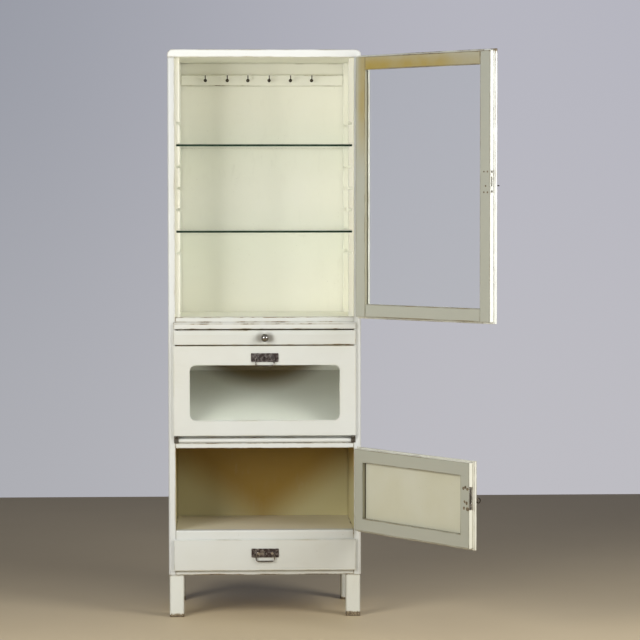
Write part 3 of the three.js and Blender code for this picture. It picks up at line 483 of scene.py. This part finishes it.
def wire(bm, points, radius, sides=10):
    ring = bmesh.ops.create_circle(bm, cap_ends=True, radius=radius, segments=sides)["verts"]
    start = (Vector(points[1]) - Vector(points[0])).normalized()
    turn = start.to_track_quat("Z", "Y").to_matrix()
    bmesh.ops.rotate(bm, verts=ring, cent=(0, 0, 0), matrix=turn)
    bmesh.ops.translate(bm, verts=ring, vec=points[0])
    cap = next(f for f in ring[0].link_faces if all(v in f.verts for v in ring))
    for index in range(1, len(points)):
        here, there = Vector(points[index - 1]), Vector(points[index])
        ahead = Vector(points[min(index + 1, len(points) - 1)])
        cap = bmesh.ops.extrude_discrete_faces(bm, faces=[cap])["faces"][0]
        bmesh.ops.translate(bm, verts=cap.verts[:], vec=there - here)
        facing = ((there - here).normalized() + (ahead - there).normalized()).normalized()
        cap.normal_update()
        tilt = cap.normal.rotation_difference(facing).to_matrix()
        bmesh.ops.rotate(bm, verts=cap.verts[:], cent=there, matrix=tilt)


def lathe(bm, profile, place, axis, steps=24):
    verts = [bm.verts.new((r, 0.0, h)) for r, h in profile]
    edges = [bm.edges.new(pair) for pair in zip(verts, verts[1:])]
    made = bmesh.ops.spin(bm, geom=verts + edges, cent=(0, 0, 0), axis=(0, 0, 1), dvec=(0, 0, 0),
                          angle=2 * pi, steps=steps, use_merge=True)
    fresh = [v for v in made["geom_last"] if isinstance(v, bmesh.types.BMVert)]
    stack = [v for v in fresh + verts if v.is_valid]
    known = set(stack)
    while stack:
        for edge in stack.pop().link_edges:
            for vert in edge.verts:
                if vert not in known:
                    known.add(vert)
                    stack.append(vert)
    turn = Vector(axis).to_track_quat("Z", "Y").to_matrix()
    bmesh.ops.rotate(bm, verts=list(known), cent=(0, 0, 0), matrix=turn)
    bmesh.ops.translate(bm, verts=list(known), vec=place)


def tidy(bm):
    bmesh.ops.remove_doubles(bm, verts=bm.verts[:], dist=1e-6)
    bmesh.ops.recalc_face_normals(bm, faces=bm.faces[:])
    for face in bm.faces:
        face.smooth = True


rail_low, rail_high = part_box("hook_rail")
rail_face, rail_middle = rail_low.y, (rail_low.z + rail_high.z) / 2
HOOK_PLACES = (-0.168, -0.103, -0.042, 0.021, 0.084, 0.147)
HOOK_OUT, HOOK_RISE, HOOK_BEND, HOOK_WIRE = 0.027, 0.014, 0.005, 0.0016
COLLAR_PROFILE = [(0.0, 0.0022), (0.0035, 0.002), (0.0048, 0.0008), (0.005, 0.0), (0.0, 0.0)]
for number, x in enumerate(HOOK_PLACES):
    bm = bmesh.new()
    turns = [(sin(a), 1 - cos(a)) for a in (0.3, 0.7, 1.1, pi / 2)]
    bend_start = rail_face - HOOK_OUT + HOOK_BEND
    route = [(x, rail_face + 0.002, rail_middle), (x, bend_start, rail_middle)]
    route += [(x, bend_start - HOOK_BEND * s, rail_middle + HOOK_BEND * c) for s, c in turns]
    route.append((x, rail_face - HOOK_OUT, rail_middle + HOOK_RISE))
    wire(bm, route, HOOK_WIRE)
    lathe(bm, COLLAR_PROFILE, (x, rail_face, rail_middle), (0, -1, 0), 16)
    tidy(bm)
    as_piece(bm, f"hook_{number + 1}", hook_metal, "carcass")

# Glass shelves
# Two plates of float glass, lying loose in the notches.
# Their ground edges look dark green, so each has a thin dark rim round it.
def glazing(name, tint):
    material, tree = fresh_material(name)
    pane = linked(tree, "ShaderNodeBsdfPrincipled", {
        "Base Color": srgb(*tint), "Roughness": 0.02, "IOR": 1.5, "Transmission Weight": 1.0}).outputs[0]
    clear = linked(tree, "ShaderNodeBsdfTransparent", {0: srgb(*tint)}).outputs[0]
    shade = linked(tree, "ShaderNodeLightPath").outputs["Is Shadow Ray"]
    surface = linked(tree, "ShaderNodeMixShader", {0: shade, 1: pane, 2: clear}).outputs[0]
    linked(tree, "ShaderNodeOutputMaterial", {0: surface})
    return material


shelf_glass = glazing("shelf_glass", (248, 253, 250))
pane_glass = glazing("pane_glass", (250, 252, 251))
rim_glass, tree = fresh_material("ground_glass_edge")
place = linked(tree, "ShaderNodeTexCoord").outputs["Object"]
haze = cloud(tree, stretched(tree, place, 12, 12, 220), 4.0, 5.0)
finished(tree, {
    "Base Color": mixed(tree, haze, srgb(14, 26, 18), srgb(42, 66, 48)),
    "Roughness": plus(tree, times(tree, haze, 0.3), 0.12),
})
GLASS_EDGE, PANE_EDGE = 0.0008, 0.0003
RIM_PROUD, RIM_THICKNESS, RIM_INSET = 0.0002, 0.0012, 0.0004
for level_name in ("lower", "upper"):
    dressed(f"glass_shelf_{level_name}", shelf_glass, "carcass", GLASS_EDGE)
    low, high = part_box(f"glass_shelf_{level_name}")
    size = high - low
    bm = bmesh.new()
    bmesh.ops.create_grid(bm, x_segments=1, y_segments=1, size=0.5)
    bmesh.ops.scale(bm, vec=(size.x + 2 * RIM_PROUD, size.y + 2 * RIM_PROUD, 1), verts=bm.verts)
    middle = (low + high) / 2
    bmesh.ops.translate(bm, vec=(middle.x, middle.y, low.z + RIM_INSET), verts=bm.verts)
    sheet = bm.faces[:]
    ring = inset_ring(bm, sheet, RIM_THICKNESS)
    bmesh.ops.delete(bm, geom=sheet, context="FACES")
    raised = bmesh.ops.extrude_face_region(bm, geom=ring)["geom"]
    lifted = [v for v in raised if isinstance(v, bmesh.types.BMVert)]
    bmesh.ops.translate(bm, vec=(0, 0, size.z - 2 * RIM_INSET), verts=lifted)
    bmesh.ops.recalc_face_normals(bm, faces=bm.faces[:])
    as_piece(bm, f"glass_shelf_{level_name}_rim", rim_glass, "carcass")

# Upper door
# A frame of stiles and rails with a lip round its front edge, painted all over and grooved for the pane.
# An ochre stain has spread round the upper hinge corner, and keys have scuffed the lock stile. Painted shade
# darkens its rear face, the back of its lip and the walls round the pane.
def closed_at(tree):
    return parted(tree, linked(tree, "ShaderNodeAttribute", attribute_name="closed").outputs["Vector"])


DOOR_REAR, PANE_REAR, LIP_REAR = -0.1676, -0.1802, -0.1803
FREE_EDGE, HINGE_SIDE = -0.2615, 0.217


def rear_face(tree, y):
    return ramped(tree, y, DOOR_REAR - 0.001, DOOR_REAR)


def recess(tree):
    x, y, z = closed_at(tree)
    upper = maths(tree, "COMPARE", z, 1.23, 0.345)
    lower = maths(tree, "COMPARE", z, 0.3725, 0.1025)
    opening = times(tree, maths(tree, "MAXIMUM", upper, lower), maths(tree, "COMPARE", x, 0.0, 0.235))
    sunk = without(tree, ramped(tree, y, DOOR_REAR - 0.0008, DOOR_REAR + 0.0002))
    return times(tree, opening, maths(tree, "GREATER_THAN", y, PANE_REAR), sunk)


# Painted shade on each door: the back of the lip at the free edge is darker, the rear face greyer, and the
# walls round the pane or panel darker, darkest next to it.
def door_inside_painted_shade(tree, place, colour):
    x, y, _ = closed_at(tree)
    lip = times(tree, maths(tree, "LESS_THAN", y, LIP_REAR), maths(tree, "LESS_THAN", x, FREE_EDGE))
    colour = mixed(tree, lip, colour, srgb(150, 147, 132))
    colour = mixed(tree, rear_face(tree, y), colour, srgb(179, 180, 166))
    walls = mixed(tree, ramped(tree, y, -0.1765, -0.1735), srgb(74, 68, 48), srgb(158, 154, 132))
    return mixed(tree, recess(tree), colour, walls)


def ochre_stain(tree, place, colour):
    colour = door_inside_painted_shade(tree, place, colour)
    x, y, z = closed_at(tree)
    streak = ramped(tree, cloud(tree, place, 14.0, 4.0), 0.25, 0.7)
    on_stile = times(tree, without(tree, ramped(tree, x, 0.23, 0.258)), ramped(tree, z, 1.24, 1.46), 0.75)
    on_rail = plus(tree, 0.5, times(tree, ramped(tree, x, -0.21, 0.0), 0.5))
    on_rail = times(tree, on_rail, without(tree, times(tree, ramped(tree, z, 1.57, 1.608), 0.5)))
    beside = ramped(tree, x, HINGE_SIDE - 0.001, HINGE_SIDE + 0.001)
    amount = plus(tree, times(tree, on_stile, beside), times(tree, on_rail, without(tree, beside)))
    amount = times(tree, amount, plus(tree, 0.7, times(tree, streak, 0.3)), rear_face(tree, y))
    return mixed(tree, amount, colour, srgb(168, 146, 72))


def spots(tree, places, strength):
    x, _, z = closed_at(tree)
    most = None
    for near_x, near_z, radius in places:
        off_x = maths(tree, "ABSOLUTE", maths(tree, "SUBTRACT", x, near_x))
        off_z = maths(tree, "ABSOLUTE", maths(tree, "SUBTRACT", z, near_z))
        square = plus(tree, maths(tree, "POWER", off_x, 2.0), maths(tree, "POWER", off_z, 2.0))
        mark = without(tree, ramped(tree, maths(tree, "SQRT", square), radius * 0.3, radius))
        most = mark if most is None else maths(tree, "MAXIMUM", most, mark)
    return times(tree, most, strength)


def upper_scuffs(tree, place):
    screws = [(-0.231, 1.2695), (-0.2437, 1.2695), (-0.231, 1.2135), (-0.2437, 1.2135)]
    keyhole, knocked_corner = (-0.237, 1.2305), (-0.262, 1.612)
    marks = [(*mark, 0.005) for mark in screws + [keyhole]]
    return spots(tree, marks + [(*knocked_corner, 0.03)], 1.5)


def lower_scuffs(tree, place):
    above = [(-0.2295, 0.413, 0.009), (-0.238, 0.4165, 0.009), (-0.246, 0.412, 0.009)]
    beside = [(-0.235, 0.3775, 0.01), (-0.243, 0.374, 0.01)]
    below = [(-0.2325, 0.36, 0.01), (-0.246, 0.358, 0.011)]
    return spots(tree, above + beside + below, 1.7)


DOOR_EDGE, THIN_EDGE, DOOR_WEAR, DOOR_GRIME = 0.0012, 0.0008, 0.004, 0.75
stile_enamel = enamel("lock_stile_enamel", (230, 231, 226), (224, 225, 215), tone=door_inside_painted_shade,
                      bruise=upper_scuffs, grime=DOOR_GRIME)
bottom_rail_enamel = enamel("bottom_rail_enamel", (226, 228, 219), (220, 220, 206), -0.2, brushed=ALONG_X,
                            tone=door_inside_painted_shade, grime=DOOR_GRIME)
top_rail_enamel = enamel("top_rail_enamel", (226, 227, 216), (220, 218, 202), brushed=ALONG_X,
                         tone=ochre_stain, grime=DOOR_GRIME)
stained_enamel = enamel("hinge_stile_enamel", (226, 227, 216), (220, 218, 202), -0.2, tone=ochre_stain,
                        grime=DOOR_GRIME)
dressed("upper_door_hinge_stile", stained_enamel, "upper_door", THIN_EDGE, DOOR_WEAR)
dressed("upper_door_lock_stile", stile_enamel, "upper_door", DOOR_EDGE, DOOR_WEAR)
dressed("upper_door_top_rail", top_rail_enamel, "upper_door", DOOR_EDGE, DOOR_WEAR)
dressed("upper_door_bottom_rail", bottom_rail_enamel, "upper_door", DOOR_EDGE, DOOR_WEAR)
dressed("upper_door_glass", pane_glass, "upper_door", PANE_EDGE)

# Lower door
# The same lipped frame round a flat panel, with the same painted shade on its rear face, lip and panel
# recess. It is scuffed round its lock.
PANEL_EDGE = 0.0005
lower_enamel = enamel("lower_door_enamel", (222, 222, 211), (215, 213, 196), -0.3, brushed=ALONG_X,
                      tone=door_inside_painted_shade, bruise=lower_scuffs, grime=DOOR_GRIME)
panel_enamel = enamel("lower_panel_enamel", (212, 212, 195), (205, 203, 178), -0.3, brushed=ALONG_X,
                      grime=0.6)
dressed("lower_door_frame", lower_enamel, "lower_door", DOOR_EDGE, DOOR_WEAR)
dressed("lower_door_panel", panel_enamel, "lower_door", PANEL_EDGE, DOOR_WEAR)

# Door hinges, locks, bolts and keys
# Turned steel knuckles with plates let into the wood, and mortise locks with plain steel keys.
# The upper lock's forend is painted over, the lower one is bare nickel, and two slotted screws hold each.
METAL_EDGE, BOLT_EDGE, WIRE_EDGE = 0.0003, 0.0005, 0.0002
dark_metal = metal("aged_steel", (150, 146, 138), (104, 98, 90), 0.32)
bright_metal = metal("worn_nickel", (206, 202, 196), (158, 150, 138), 0.16, 0.3)
painted_forend = enamel("forend_enamel", (218, 219, 212), (206, 205, 194), -0.1)
for door, forend in (("upper", painted_forend), ("lower", bright_metal)):
    for level_name in ("top", "bottom"):
        dressed(f"{door}_hinge_frame_{level_name}", dark_metal, "carcass", METAL_EDGE)
        dressed(f"{door}_hinge_door_{level_name}", dark_metal, f"{door}_door", METAL_EDGE)
    dressed(f"{door}_door_lock", forend, f"{door}_door", METAL_EDGE)
    dressed(f"{door}_door_bolt", bright_metal, f"{door}_bolt", BOLT_EDGE)
    dressed(f"{door}_door_key", hook_metal, f"{door}_key", WIRE_EDGE)


HEAD_RADIUS, HEAD_HEIGHT, SLOT_HALF, SLOT_DEPTH = 0.0032, 0.0008, 0.0005, 0.0005
FOREND_X, FOREND_Y, SCREW_OFFSET = -0.2535, -0.1737, 0.0265


def slotted_screw(bm, place):
    head = bmesh.ops.create_circle(bm, cap_ends=True, radius=HEAD_RADIUS, segments=20)["verts"]
    disc = head[0].link_faces[0]
    top = bmesh.ops.extrude_discrete_faces(bm, faces=[disc])["faces"][0]
    bmesh.ops.translate(bm, verts=top.verts[:], vec=(0, 0, HEAD_HEIGHT))
    for side in (-SLOT_HALF, SLOT_HALF):
        cut = bm.verts[:] + bm.edges[:] + bm.faces[:]
        bmesh.ops.bisect_plane(bm, geom=cut, dist=1e-7, plane_co=(side, 0, 0), plane_no=(1, 0, 0))
    upper = [f for f in bm.faces if f.normal.z > 0.9]
    slot = [f for f in upper if abs(f.calc_center_median().x) < SLOT_HALF * 0.9]
    sunk = bmesh.ops.extrude_face_region(bm, geom=slot)["geom"]
    bmesh.ops.delete(bm, geom=slot, context="FACES")
    lowered = [v for v in sunk if isinstance(v, bmesh.types.BMVert)]
    bmesh.ops.translate(bm, verts=lowered, vec=(0, 0, -SLOT_DEPTH))
    bmesh.ops.recalc_face_normals(bm, faces=bm.faces[:])
    turn = Vector((-1, 0, 0)).to_track_quat("Z", "Y").to_matrix()
    bmesh.ops.rotate(bm, verts=bm.verts[:], cent=(0, 0, 0), matrix=turn)
    bmesh.ops.translate(bm, verts=bm.verts[:], vec=place)


for door, middle in (("upper", 1.2425), ("lower", 0.387)):
    for number, offset in enumerate((-SCREW_OFFSET, SCREW_OFFSET)):
        bm = bmesh.new()
        slotted_screw(bm, (FOREND_X, FOREND_Y, middle + offset))
        opened = closed_place(f"{door}_door").inverted()
        bmesh.ops.transform(bm, matrix=opened, verts=bm.verts[:])
        as_piece(bm, f"{door}_lock_screw_{number + 1}", dark_metal, f"{door}_door")

# Flap
# One lipped board with a round-cornered window, glazed from behind.
# It hangs on two small hinges at its foot.
def plate_middle(owner):
    low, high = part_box(f"{owner}_handle_plate")
    return (low.z + high.z) / 2


# Behind each plate's keyhole the front is painted black, as painted shade for the depth of the hole.
def keyhole_painted_shade(tree, place, colour):
    holes = spots(tree, [(0.0, plate_middle(owner) - 0.002, 0.012) for owner in ("flap", "drawer")], 1.0)
    return mixed(tree, ramped(tree, holes, 0.05, 0.2), colour, srgb(16, 13, 10))


front_enamel = enamel("front_enamel", (208, 210, 204), (203, 203, 193), -0.32, brushed=ALONG_X,
                      tone=keyhole_painted_shade)
dressed("flap_panel", front_enamel, "flap", DOOR_EDGE, DOOR_WEAR)
dressed("flap_glass", pane_glass, "flap", PANE_EDGE)
# Aged steel, darkened further as painted shade of the gap under the flap.
flap_steel_and_shade = metal("flap_hinge_steel_and_shade", (120, 114, 104), (78, 71, 60), 0.4)
for side in ("left", "right"):
    dressed(f"flap_hinge_frame_{side}", flap_steel_and_shade, "carcass", METAL_EDGE)
    dressed(f"flap_hinge_arm_{side}", flap_steel_and_shade, "flap", METAL_EDGE)

# Handle plates and bails
# Stamped nickel plates with two bright posts and a keyhole, and bent wire bails that hang in the posts.
# The plates have gone dark round the posts.
PLATE_EDGE, PLATE_FACE = 0.0004, -0.1912
plate_metal = metal("aged_nickel", (200, 194, 190), (84, 74, 72), 0.24, 0.9, raised=PLATE_FACE)
bail_metal = metal("bail_nickel", (150, 143, 136), (72, 65, 60), 0.14, 0.6)
for owner in ("flap", "drawer"):
    dressed(f"{owner}_handle_plate", plate_metal, owner, PLATE_EDGE)
    dressed(f"{owner}_handle_bail", bail_metal, f"{owner}_bail", WIRE_EDGE)

# Drawer
# A lipped, painted front on a plain nailed box of bare wood.
# The box runs on the bottom board.
def bare_wood(name, light, dark):
    material, tree = fresh_material(name)
    place = linked(tree, "ShaderNodeTexCoord").outputs["Object"]
    grain = cloud(tree, stretched(tree, place, 60, 3, 60), 3.0, 6.0, 0.6)
    fibre = cloud(tree, stretched(tree, place, 400, 12, 400), 2.0, 3.0)
    colour = mixed(tree, ramped(tree, grain, 0.3, 0.7), srgb(*light), srgb(*dark))
    pores = times(tree, ramped(tree, fibre, 0.5, 0.75), 0.35)
    colour = mixed(tree, pores, colour, srgb(96, 66, 36))
    bump = linked(tree, "ShaderNodeBump", {"Height": fibre, "Strength": 0.25, "Distance": 0.0005})
    finished(tree, {"Base Color": colour, "Roughness": 0.68, "Normal": bump.outputs[0]})
    return material


drawer_wood = bare_wood("drawer_wood", (196, 160, 108), (170, 130, 82))
WOOD_EDGE = 0.0008
dressed("drawer_front", front_enamel, "drawer", DOOR_EDGE, DOOR_WEAR)
for node in ("drawer_side_left", "drawer_side_right", "drawer_back", "drawer_bottom"):
    dressed(node, drawer_wood, "drawer", WOOD_EDGE)

# Pull-out board
# A painted board in wooden runners, with a chamfered front and a turned nickel knob.
# Grey spots either side of the knob stand for paint worn by fingers and for the knob's painted shadows.
def knob_rub_and_shadow(tree, place, colour):
    low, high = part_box("pullout_knob")
    height = (low.z + high.z) / 2
    # Worn paint and painted shadow, left and right of the knob.
    rubbed_and_shaded = spots(tree, ((-0.011, height, 0.02), (0.011, height, 0.02)), 0.7)
    return mixed(tree, rubbed_and_shaded, colour, srgb(126, 121, 110))


PULLOUT_EDGE = 0.001
pullout_enamel = enamel("pullout_enamel", (205, 207, 201), (200, 200, 190), -0.12, brushed=ALONG_X,
                        tone=knob_rub_and_shadow)
dressed("pullout_front", pullout_enamel, "pullout", PULLOUT_EDGE, DOOR_WEAR)
dressed("pullout_board", rack_enamel, "pullout", PULLOUT_EDGE, DOOR_WEAR)
for side in ("left", "right"):
    dressed(f"pullout_runner_{side}", drawer_wood, "carcass", WOOD_EDGE)
knob_metal = metal("knob_nickel", (142, 138, 132), (104, 98, 90), 0.1, 0.2)
dressed("pullout_knob", knob_metal, "pullout", METAL_EDGE)
